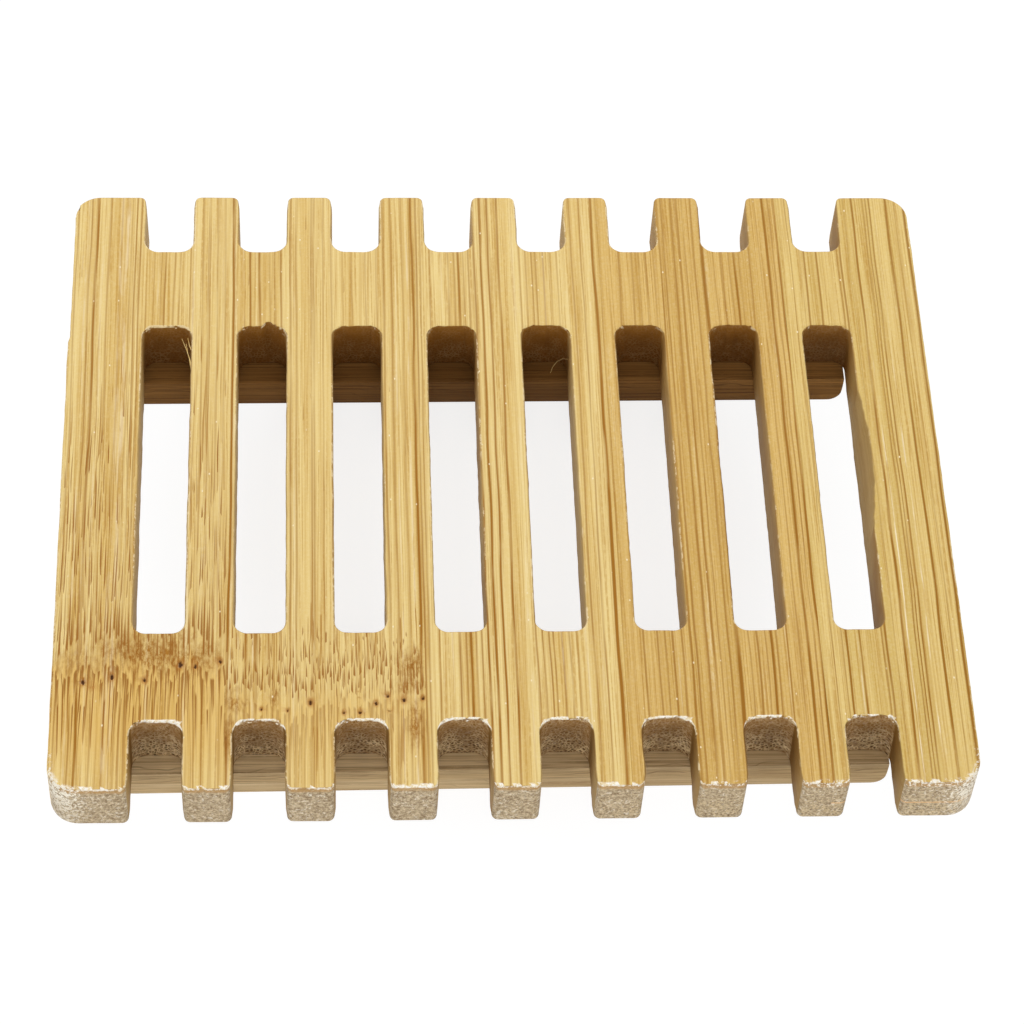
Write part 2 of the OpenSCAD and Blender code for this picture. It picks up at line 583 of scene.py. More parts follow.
# Height of the cells that hold a knuckle's strokes, so that these go on down the sides
STROKE_HEIGHT = 0.6


def grain_group():
    """Solid bamboo with its fibres along Y."""
    tree, given, result = new_group("bamboo_grain", [], [
        "Lines", "Hairs", "Fibres", "Bands", "Chalk", "Dots", "Network", "Specks", "Crumbs"])
    vector = given["Vector"]

    def drawn_out(run, scale, detail, roughness=0.6, across=1.0):
        """Noise drawn out along the fibres."""
        return noise(stretched(vector, across, run, across), scale, detail, roughness)

    fading = remap(drawn_out(0.05, 1.0, 2, across=0.7), 0.36, 0.6, 0.2, 1.0)
    broken = remap(drawn_out(0.4, 2.4, 3, 0.7), 0.3, 0.56, 0.3, 1.0)
    distance = shaped_cells(vector, 1.0, LINE_RUN, 1.0)[2]
    whiter = remap(drawn_out(0.03, 1.1, 3), 0.6, 0.72)
    powdery = remap(drawn_out(0.5, 2.2, 3, 0.7), 0.42, 0.62)

    bundled = {"Vector": stretched(vector, 1 / BUNDLE, 1 / BUNDLE_RUN, 1 / BUNDLE), "Scale": 1.0}
    cells = follow("TexVoronoi", bundled)
    chance = follow("SeparateColor", {0: cells["Color"]})
    dots = times(remap(cells["Distance"], 0.46, 0.2), remap(chance[0], 0.1, 0.7, 0.2, 1.0))
    borders = follow("TexVoronoi", bundled, feature="DISTANCE_TO_EDGE")[0]
    network = times(remap(borders, 0.15, 0.05), remap(noise(vector, 0.7, 2, 0.6), 0.4, 0.6, 0.3, 1.0))
    _, chance, speck = shaped_cells(vector, 0.8, 1.4, 0.8)
    connect(result, {
        "Lines": times(remap(distance, 0.17, 0.08), fading),
        "Hairs": times(remap(drawn_out(0.008, 4.8, 2), 0.45, 0.39), broken),
        "Fibres": drawn_out(0.008, 5.5, 3, 0.7),
        "Bands": drawn_out(0.01, 0.5, 3),
        "Chalk": times(whiter, powdery),
        "Dots": dots,
        "Network": network,
        "Specks": times(remap(speck, 0.16, 0.05), remap(chance[0], 0.9, 0.93)),
        "Crumbs": noise(vector, 2.8, 3, 0.75),
    })
    return tree


def knuckle_group():
    """The disturbed grain of a knuckle that lies across Y = 0 and reaches some way back from there."""
    tree, given, result = new_group("bamboo_knuckle", ["Reach", "Dash"], [
        "Dashes", "Streaks", "Roots", "Tongues", "Front", "Plain"])
    vector, reach, dash = given["Vector"], given["Reach"], given["Dash"]
    y = parts_of(vector)[1]
    bend = stretched_noise(vector, 0.25, 0.05, 0.2, 1)
    bent = moved(vector, joined(times(minus(bend, 0.5), 0.7)))
    ragged = stretched_noise(vector, 0.9, 0.25, 0.3, 3, 0.6)
    edge = plus(y, times(minus(ragged, 0.5), 7.0))
    swing = stretched_noise(vector, 0.35, 0, 0)
    level = plus(y, remap(swing, 0.3, 0.7, -1.2, 1.2))

    def at(share):
        """The place at a share of the knuckle's reach."""
        return times(reach, share)

    def tapered(across, taper, full):
        """A stroke along the middle of its cell, whose half-width is its full one where the taper is 1."""
        half = times(taper, full)
        return remap(absolute(across), half, times(half, 0.4))

    def spread(width, length, full, share):
        """Strokes all over, broad and dark in front and fading to a point behind."""
        along = add(tree, "Math", {0: 1.0, 1: length}, operation="DIVIDE")[0]
        shaped = follow("VectorMath", {0: bent, 1: joined(1.0, along, 1.0)}, operation="MULTIPLY")[0]
        away, chance, _ = shaped_cells(shaped, width, 1.0, STROKE_HEIGHT)
        taper = remap(away[1], 0.5, -0.5)
        shown = remap(minus(share, chance[0]), -0.04, 0.04)
        return times(tapered(away[0], taper, full), shown, remap(taper, 0, 0.7, 0.3, 1),
                     remap(chance[1], 0, 1, 0.55, 1))

    def row(width, full, starts, lengths, way):
        """A row of spikes along the knuckle that point one way along Y, broad and dark at their start."""
        away, chance, _ = shaped_cells(stretched(bent, 1, 0, 1), width, 1.0, STROKE_HEIGHT)
        start = remap(chance[1], 0, 1, *starts)
        length = remap(chance[2], 0, 1, *lengths)
        run = calc("DIVIDE", times(minus(level, start), way), length)
        return times(tapered(away[0], remap(run, 1.0, 0.0), full),
                     remap(run, -0.06, 0.02), remap(run, 1.0, 0.0, 0.5, 1.0))

    crowd = remap(y, reach, at(0.2), 0.0, 0.95)
    scattered = times(spread(0.44, dash, 0.29, crowd), remap(edge, -3.0, 0.0))
    long_share = remap(y, at(1.3), at(0.7), 0.0, 0.7)
    off_knuckle = larger(remap(y, at(0.1), at(0.5), 0.3, 1.0), remap(edge, -4.0, -7.0))
    connect(result, {
        "Dashes": larger(scattered, row(0.62, 0.3, (-0.8, 2.6), (times(dash, 0.6), dash), 1)),
        "Streaks": times(spread(0.5, 14.0, 0.28, long_share), off_knuckle),
        "Roots": larger(row(0.62, 0.34, (-4.4, -2.2), (2.5, 6.0), -1),
                        row(0.5, 0.25, (-8.0, -2.6), (5.0, 13.0), -1)),
        "Tongues": row(0.8, 0.42, (-4.6, -3.2), (2.0, 3.8), 1),
        "Front": remap(edge, 1.0, -5.0),
        "Plain": larger(remap(y, at(0.2), reach, 0.35, 1.0), remap(edge, -4.0, -9.0)),
    })
    return tree


def worn_rim_and_highlight_group():
    """Where torn white fibres stand, with a painted highlight, on the rims that cut across the grain and
    face up and forward.
    """
    tree, given, result = new_group("worn_rim_and_highlight", ["Torn"], ["White", "Brown"])
    vector, torn, normal = given["Vector"], given["Torn"], facing(tree)
    forward = times(normal[1], -1.0)
    ragged = noise(vector, 1.5, 4, 0.7)
    patchy = noise(vector, 0.35, 2, 0.6)
    lifted = plus(normal[2], remap(ragged, 0.3, 0.7, -0.25, 0.25))
    connect(result, {
        "White": times(remap(forward, 0.12, 0.26),
                       remap(plus(lifted, torn), 0.5, 0.64),
                       remap(plus(ragged, patchy, torn), 0.84, 0.94)),
        "Brown": times(remap(forward, 0.4, 0.6), remap(lifted, -0.3, 0.0)),
    })
    return tree


GRAIN = grain_group()
KNUCKLE = knuckle_group()
WORN_RIM_AND_HIGHLIGHT = worn_rim_and_highlight_group()


# --- finishes ---

CHALK_WHITE = srgb(244, 228, 190)
# The torn white of the forward rims, partly a painted highlight where they face the light; the cream also
# scuffs the long edges
TORN_WHITE_AND_HIGHLIGHT = srgb(255, 250, 238)
TORN_CREAM_AND_HIGHLIGHT = srgb(238, 218, 176)
SLOT_RIM_CREAM = srgb(232, 208, 158)
RUBBED_WHITE = srgb(246, 238, 220)
DASH_BROWN = srgb(150, 95, 26)
STREAK_BROWN = srgb(166, 114, 40)
ROOT_BROWN = srgb(146, 92, 24)
STAIN_TINT = srgb(182, 142, 74)
TONGUE_GOLD = srgb(230, 192, 112)
FRONT_GOLD = srgb(224, 180, 94)
PIT_HALO = srgb(176, 116, 46)
PIT_BROWN = srgb(74, 42, 14)
# Painted shade on the routed walls inside the board, and deeper painted shade in the notches and at the
# rear ends of the slots
ROUTED_WALL_SHADE = srgb(158, 126, 82)
NOTCH_WALL_SHADE = srgb(112, 76, 26)
SLOT_END_SHADE = srgb(128, 80, 12)

# The end grain
END_BROWN = srgb(128, 104, 74)
END_CREAM = srgb(214, 195, 162)
FLECK_WHITE = srgb(236, 226, 206)
# Painted shade on the end faces in the notches
NOTCH_END_SHADE = srgb(142, 94, 22)
NETWORK_CREAM = srgb(228, 204, 158)
BUNDLE_BROWN = srgb(78, 52, 22)
UNDER_RIM_BROWN = srgb(184, 144, 88)
SEAM_CREAM = srgb(224, 180, 128)

# Places in millimetres, and the stretches over which marks come or go: from the board's middle to either
# side, along it, and back from its front
TOP_AT, UNDER_AT, FRONT_AT, RIGHT_AT, SLOT_END_AT = (v / MM for v in (TOP, UNDER, FRONT, RIGHT, SLOT_END))
CORNER = PLATE_CORNER / MM
INSIDE_SIDES = (54.0, 53.0)
TO_SLOT_END = (14.0, 22.0)
BEFORE_REAR_BAND = (26.0, 25.0)
WITHIN_NOTCH = (11.0, 10.0)
BEHIND_SLOTS = (60.0, 64.0)
ON_TOOTH_TIP = (1.4, 0.8)
DOWN_TOOTH = (0.0, 9.0)

# How many drawn lines fit on one colour ramp, how wide they spread, and the share of them that is full
LINES_TO_A_RAMP = 7
LINE_SPREAD = 0.95
LINE_CORE_SHARE = 0.35


def drawn_lines(across, left, width, lines):
    """Lines of the grain at given places across a strip: (place, half-width, strength)."""
    share = calc("DIVIDE", minus(across, left), width)
    drawn = None
    for start in range(0, len(lines), LINES_TO_A_RAMP):
        stops = [(0.0, grey(0))]
        for place, half, strength in lines[start:start + LINES_TO_A_RAMP]:
            middle = (place - left) / width
            reach = LINE_SPREAD * half / width
            core = LINE_CORE_SHARE * reach
            stops += [(middle - reach, grey(0)), (middle - core, grey(strength)),
                      (middle + core, grey(strength)), (middle + reach, grey(0))]
        more = ramp(share, stops)
        drawn = more if drawn is None else larger(drawn, more)
    return drawn


def lines_of(across, lines):
    """The lines drawn across a strip."""
    low, high = lines[0][0] - 1, lines[-1][0] + 1
    return drawn_lines(across, low, high - low, lines)


def finish(name):
    """A new material: its node tree, its shader and its place on the piece in millimetres."""
    material = bpy.data.materials.new(name)
    material.use_nodes = True
    tree = material.node_tree
    shader = tree.nodes["Principled BSDF"]
    shader.inputs["Roughness"].default_value = 0.6
    shader.inputs["Specular IOR Level"].default_value = 0.12
    place = add(tree, "TexCoord")["Object"]
    return material, tree, shader, stretched(place, 1 / MM, 1 / MM, 1 / MM)


def roughen(tree, shader, out):
    """Lets the light catch the fibres."""
    height = minus(out["Fibres"], larger(out["Lines"], out["Hairs"]))
    bump = add(tree, "Bump", {"Height": height, "Strength": 0.25, "Distance": 0.04 * MM})
    tree.links.new(bump[0], shader.inputs["Normal"])


def stained(place, vector, stains):
    """How strongly brown stains lie at given spots: (x, y, half-width, half-length, strength)."""
    uneven = stretched_noise(vector, 1.3, 0.5, 1, 4, 0.6)
    uneven = times(minus(uneven, 0.5), 1.8)
    total = None
    for x, y, wide, long, strength in stains:
        away = length_of(stretched(moved(place, (-x, -y, 0)), 1 / wide, 1 / long, 0))
        stain = remap(plus(away, uneven), 1.25, 0.1, 0.0, strength)
        total = stain if total is None else larger(total, stain)
    mottled = noise(stretched(vector, 1, 0.4, 1), 2.6, 3, 0.75)
    return times(total, remap(mottled, 0.36, 0.62, 0.3, 1.0))


def knuckle_marks(colour, vector, place, marks, on_top, knuckle):
    """Draws the stains, pale tongues, streaks, roots and dashes of a knuckle over a strip's colour."""
    stain = times(stained(place, vector, knuckle["stains"]), on_top)
    colour = blend(stain, colour, STAIN_TINT, mode="MULTIPLY")
    roots = knuckle["roots"]
    for label, strength, tone in (("Tongues", 0.8 * roots, TONGUE_GOLD), ("Streaks", 0.75, STREAK_BROWN),
                                  ("Roots", roots, ROOT_BROWN), ("Dashes", 0.9, DASH_BROWN)):
        colour = blend(times(marks[label], on_top, strength), colour, tone)
    return colour


def straight_grain(vector, across, y, out, strip, plain=None, gold=None):
    """The ground of a strip with its bands, fibres and lines. The lines weaken where it isn't plain."""
    pale, golden, hair, line = strip["tones"]
    colour = blend(remap(out["Bands"], 0.4, 0.66), pale, golden)
    colour = blend(remap(out["Crumbs"], 0.4, 0.7, 0.0, 0.16), colour, CHALK_WHITE)
    colour = blend(times(out["Chalk"], 0.25), colour, CHALK_WHITE)
    if gold is not None:
        colour = blend(gold, colour, FRONT_GOLD)
    colour = blend(remap(out["Fibres"], 0.58, 0.34, 0.0, 0.4), colour, hair)
    colour = blend(times(out["Hairs"], 0.6), colour, hair)

    uneven = remap(stretched_noise(vector, 0.9, 0.06, 0.3, 2, 0.6), 0.3, 0.5, 0.55, 1.1)
    stronger_in_front = remap(y, -30.0, 25.0, 1.3, 0.95)
    weaker_on_teeth = remap(y, -45.0, -34.0, 0.65, 1.0)
    drawn = times(lines_of(across, strip["dark"]), uneven, stronger_in_front, weaker_on_teeth)
    strong = larger(drawn, times(out["Lines"], 0.5))
    if plain is not None:
        strong = times(strong, plain)
    colour = blend(strong, colour, line)

    broken = remap(stretched_noise(vector, 1.5, 0.12, 1.5, 4, 0.6), 0.4, 0.62)
    weaker_behind = remap(y, -5.0, 30.0, 1.0, strip["white_behind"])
    bright = times(lines_of(across, strip["white"]), broken, weaker_behind)
    return blend(bright, colour, CHALK_WHITE)


def end_grain(vector, where, from_front, out, rim, ply_line):
    """The cut ends of the fibres: a fine speckle in front, a pale network round dark bundles behind, and
    painted shade on the ends in the notches and at the rear ends of the slots.
    """
    x, y, z = where
    ends = blend(remap(out["Crumbs"], 0.28, 0.72), END_BROWN, END_CREAM)
    flecks = remap(noise(vector, 1.7, 3, 0.8), 0.56, 0.64, 0.0, 0.7)
    ends = blend(flecks, ends, FLECK_WHITE)

    # Painted shade on the end faces further back in the notches, stronger higher up
    back = remap(from_front, 2.0, 8.0)
    browner_above = remap(z, UNDER_AT + 1.5, TOP_AT - 2.0, 0.52, 0.78)
    ends = blend(times(back, browner_above), ends, NOTCH_END_SHADE)
    # Painted shade on the rear end faces of the slots, lighter in the last slot
    in_slot = remap(absolute(minus(y, SLOT_END_AT)), 2.5, 1.2)
    paler_at_right = remap(x, 34.0, 44.0, 0.86, 0.66)
    ends = blend(times(in_slot, paler_at_right), ends, SLOT_END_SHADE)

    to_right = remap(x, -15.0, 30.0, 0.1, 0.5)
    deep = remap(z, TOP_AT - 1.5, UNDER_AT + 1.5, 0.3, 1.0)
    strong = times(larger(to_right, back), deep, remap(in_slot, 0, 1, 1.0, 0.2))
    ends = blend(times(out["Network"], strong, 0.95), ends, NETWORK_CREAM)
    ends = blend(times(out["Dots"], strong, 0.9), ends, BUNDLE_BROWN)

    under_rim = times(remap(z, TOP_AT - 1.0, TOP_AT - 0.45), remap(from_front, 3.0, 2.0, 0.0, 0.8))
    ends = blend(times(rim["Brown"], under_rim), ends, UNDER_RIM_BROWN)
    if ply_line is not None:
        seam = remap(absolute(minus(z, ply_line)), 0.15, 0.07)
        seam = times(seam, remap(from_front, 2.0, 12.0, 0.9, 0.1))
        ends = blend(seam, ends, SEAM_CREAM)
    return ends


def painted_wall_shade(colour, where, normal, from_front):
    """Paints shade on the routed walls, most of all in the notches and at the rear ends of the slots."""
    x, y, _ = where
    sideways = remap(absolute(normal[0]), 0.3, 0.75, 0.0, 0.55)
    routed = times(sideways, remap(absolute(x), *INSIDE_SIDES))
    colour = blend(routed, colour, ROUTED_WALL_SHADE)
    slot_end_shade_share = times(remap(y, *TO_SLOT_END), remap(y, *BEFORE_REAR_BAND))
    colour = blend(times(routed, slot_end_shade_share), colour, SLOT_END_SHADE)
    in_notch = times(remap(from_front, 0.0, 8.0, 0.5, 1.6), remap(from_front, *WITHIN_NOTCH))
    return blend(times(routed, in_notch), colour, NOTCH_WALL_SHADE)


def torn_share(x, from_front):
    """How readily the rims show their torn white and painted highlight: more at the left, less in the
    notches, and hardly behind the slots.
    """
    less_behind = times(remap(from_front, 1.0, 3.0, 0.0, 0.06), remap(from_front, 60, 50))
    torn = minus(remap(x, 25.0, -5.0, 0.02, 0.1), less_behind)
    after_first_slot = remap(x, -39.0, -37.0)
    return minus(torn, times(remap(from_front, *BEHIND_SLOTS), after_first_slot))


def white_rims(colour, where, normal, from_front, out, rim, hollow):
    """Draws the torn fibres along the rims that face forward, together with a painted highlight where these
    rims face the light.
    """
    by_rim = remap(where[2], TOP_AT - 0.5, TOP_AT - 0.36)
    thin = larger(remap(normal[2], 0.58, 0.78), remap(from_front, 3.0, 1.5, 0.0, 0.8))
    share = times(rim["White"], by_rim, thin)
    if hollow is not None:
        share = times(share, remap(hollow, 0.1, 0.0))
    white = blend(remap(out["Crumbs"], 0.55, 0.4), TORN_WHITE_AND_HIGHLIGHT, TORN_CREAM_AND_HIGHLIGHT)
    white = blend(remap(from_front, *BEHIND_SLOTS), white, SLOT_RIM_CREAM)
    return blend(share, colour, white)


def scuffed_edges(vector, normal):
    """Where the eased long edges of the slats are scuffed pale."""
    eased = times(remap(absolute(normal[0]), 0.18, 0.4), remap(normal[2], 0.3, 0.6))
    patchy = remap(stretched_noise(vector, 0.3, 0.1, 0.3, 2, 0.6), 0.44, 0.58)
    ragged = remap(stretched_noise(vector, 1.5, 0.8, 1.5, 4, 0.75), 0.48, 0.58)
    return times(eased, patchy, ragged, 0.75)


def rubbed_corners(vector, where, from_front):
    """Where the front corners of the plate, and the tips of the teeth at its right, are rubbed white."""
    x, _, z = where
    to_side = plus(minus(absolute(x), RIGHT_AT), CORNER)
    to_front = minus(CORNER, from_front)
    reach = length_of(joined(larger(to_side, 0.0), larger(to_front, 0.0)))
    at_outline = remap(reach, CORNER - 1.0, CORNER - 0.3)
    away = length_of(joined(minus(to_side, CORNER), from_front))
    tips = times(remap(x, 5.0, 45.0, 0.0, 0.5), remap(z, TOP_AT - 1.2, TOP_AT - 0.4),
                 remap(from_front, *ON_TOOTH_TIP))
    amount = larger(remap(away, 6.5, 1.0), tips)
    speckled = plus(noise(vector, 2.4, 4, 0.75), times(amount, 0.16))
    return times(remap(speckled, 0.6, 0.67), remap(amount, 0.0, 0.15),
                 remap(z, UNDER_AT, TOP_AT - 1, 0.4, 1.0), at_outline)


def strip_finish(name, strip):
    """Bamboo with its grain along Y, its end grain, its worn rims with a painted highlight, painted shade
    in its openings and, on some strips, a knuckle.
    """
    material, tree, shader, place = finish(name)
    vector = moved(place, strip["offset"])
    out = use(tree, GRAIN, {"Vector": vector})
    where = parts_of(place)
    from_front = minus(where[1], FRONT_AT)
    normal = facing(tree)
    wobble = remap(stretched_noise(vector, 0.1, 0.05, 0.1, 1), 0.3, 0.7, -0.1, 0.1)
    across = plus(where[0], wobble)

    if "knuckle" in strip:
        knuckle = strip["knuckle"]
        at_knuckle = moved(vector, (0, -knuckle["y"] - strip["offset"][1], 0))
        marks = use(tree, KNUCKLE, {"Vector": at_knuckle, "Reach": knuckle["reach"],
                                    "Dash": knuckle["dash"]})
        gold = times(marks["Front"], knuckle["front"], remap(from_front, *DOWN_TOOTH, 0.2, 1.0))
        colour = straight_grain(vector, across, where[1], out, strip, marks["Plain"], gold)
        on_top = times(remap(absolute(normal[0]), 0.5, 0.9, 1.0, 0.25),
                       remap(from_front, *DOWN_TOOTH, 0.55, 1.0))
        colour = knuckle_marks(colour, vector, place, marks, on_top, knuckle)
    else:
        colour = straight_grain(vector, across, where[1], out, strip)
    colour = blend(out["Specks"], colour, CHALK_WHITE)
    colour = painted_wall_shade(colour, where, normal, from_front)

    rim = use(tree, WORN_RIM_AND_HIGHLIGHT, {"Vector": vector, "Torn": torn_share(where[0], from_front)})
    ends = end_grain(vector, where, from_front, out, rim, strip.get("ply_line"))
    end_on = minus(absolute(normal[1]), times(normal[2], 0.25))
    colour = blend(remap(end_on, 0.22, 0.42), colour, ends)
    hollow = add(tree, "Attribute", attribute_name="hollow")["Fac"] if "pits" in strip else None
    colour = white_rims(colour, where, normal, from_front, out, rim, hollow)
    colour = blend(scuffed_edges(vector, normal), colour, TORN_CREAM_AND_HIGHLIGHT)
    colour = blend(rubbed_corners(vector, where, from_front), colour, RUBBED_WHITE)
    if hollow is not None:
        colour = blend(remap(hollow, 0.0, 0.4, 0.0, 0.6), colour, PIT_HALO)
        colour = blend(remap(hollow, 0.45, 0.95), colour, PIT_BROWN)
    tree.links.new(colour, shader.inputs["Base Color"])
    roughen(tree, shader, out)
    return material


def runner_finish(name, bar):
    """Bamboo with its grain along X, with painted shade on its front face. Its lines run on from its front
    face to the top of it.
    """
    material, tree, shader, place = finish(name)
    turned = {"Vector": place, "Location": bar["offset"], "Rotation": (0, 0, math.radians(90))}
    out = use(tree, GRAIN, {"Vector": follow("Mapping", turned)[0]})
    pale, golden, line, dark = bar["tones"]
    where = parts_of(place)
    normal = facing(tree)

    colour = blend(remap(out["Bands"], 0.36, 0.64), pale, golden)
    colour = blend(remap(out["Fibres"], 0.6, 0.36, 0.0, 0.45), colour, line)
    colour = blend(times(out["Hairs"], 0.45), colour, line)
    colour = blend(times(out["Lines"], 0.35), colour, line)
    # Darkened along the bar by its shades: on the rear runner this is painted shade, darkest in its middle
    shades = [(i / 2, grey(shade)) for i, shade in enumerate(bar["shades"])]
    colour = blend(ramp(remap(where[0], -45.0, 45.0), shades), colour, line)
    # Painted shade: faces that look forward are darkened towards the line tone
    colour = blend(remap(normal[1], -0.5, -0.9, 0.0, bar["front_face_painted_shade"]), colour, line)

    unfolded = plus(where[2], minus(where[1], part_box(bar["node"])[0].y / MM))
    sway = remap(stretched_noise(place, 0.12, 0.3, 0.3), 0.3, 0.7, -0.45, 0.45)
    fading = remap(stretched_noise(place, 0.08, 0.5, 0.5, 2, 0.6), 0.38, 0.52, 0.1, 1.0)
    drawn = drawn_lines(plus(unfolded, sway), 0.0, RUNNER_LINES_WIDTH, RUNNER_LINES)
    colour = blend(times(drawn, fading, 0.7), colour, dark)
    ends = blend(times(out["Dots"], 0.7), golden, line)
    end_on = remap(absolute(normal[0]), 0.6, 0.85)
    tree.links.new(blend(end_on, colour, ends), shader.inputs["Base Color"])
    roughen(tree, shader, out)
    return material


# --- the dish ---

# Pale ground, golden bands, hair lines and drawn lines
PALE_TONES = (srgb(232, 206, 138), srgb(219, 186, 112), srgb(188, 142, 62), srgb(156, 104, 28))
GOLDEN_TONES = (srgb(217, 181, 106), srgb(205, 167, 90), srgb(176, 128, 50), srgb(152, 102, 26))
YELLOW_TONES = (srgb(224, 195, 122), srgb(210, 179, 102), srgb(182, 136, 56), srgb(152, 104, 28))

# What both plies of the right edge strip share
RIGHT_STRIP = dict(
    slot="plain_bamboo", offset=(75, 30, 9), tones=YELLOW_TONES, white_behind=0.15, ply_line=PLY_LINE / MM,
    dark=[(37.1, 0.25, 0.9), (38.7, 0.1, 0.5), (39.9, 0.1, 0.45), (40.45, 0.2, 0.8), (42.1, 0.18, 0.75),
          (44.9, 0.14, 0.5), (45.35, 0.2, 0.7), (46.4, 0.1, 0.4), (47.5, 0.22, 0.85), (49.0, 0.12, 0.6),
          (49.4, 0.12, 0.6), (49.85, 0.16, 0.7), (52.1, 0.22, 0.8), (53.3, 0.12, 0.4), (54.5, 0.24, 0.8)],
    white=[(41.8, 0.14, 0.5), (48.05, 0.12, 0.9), (50.55, 0.14, 0.8)])

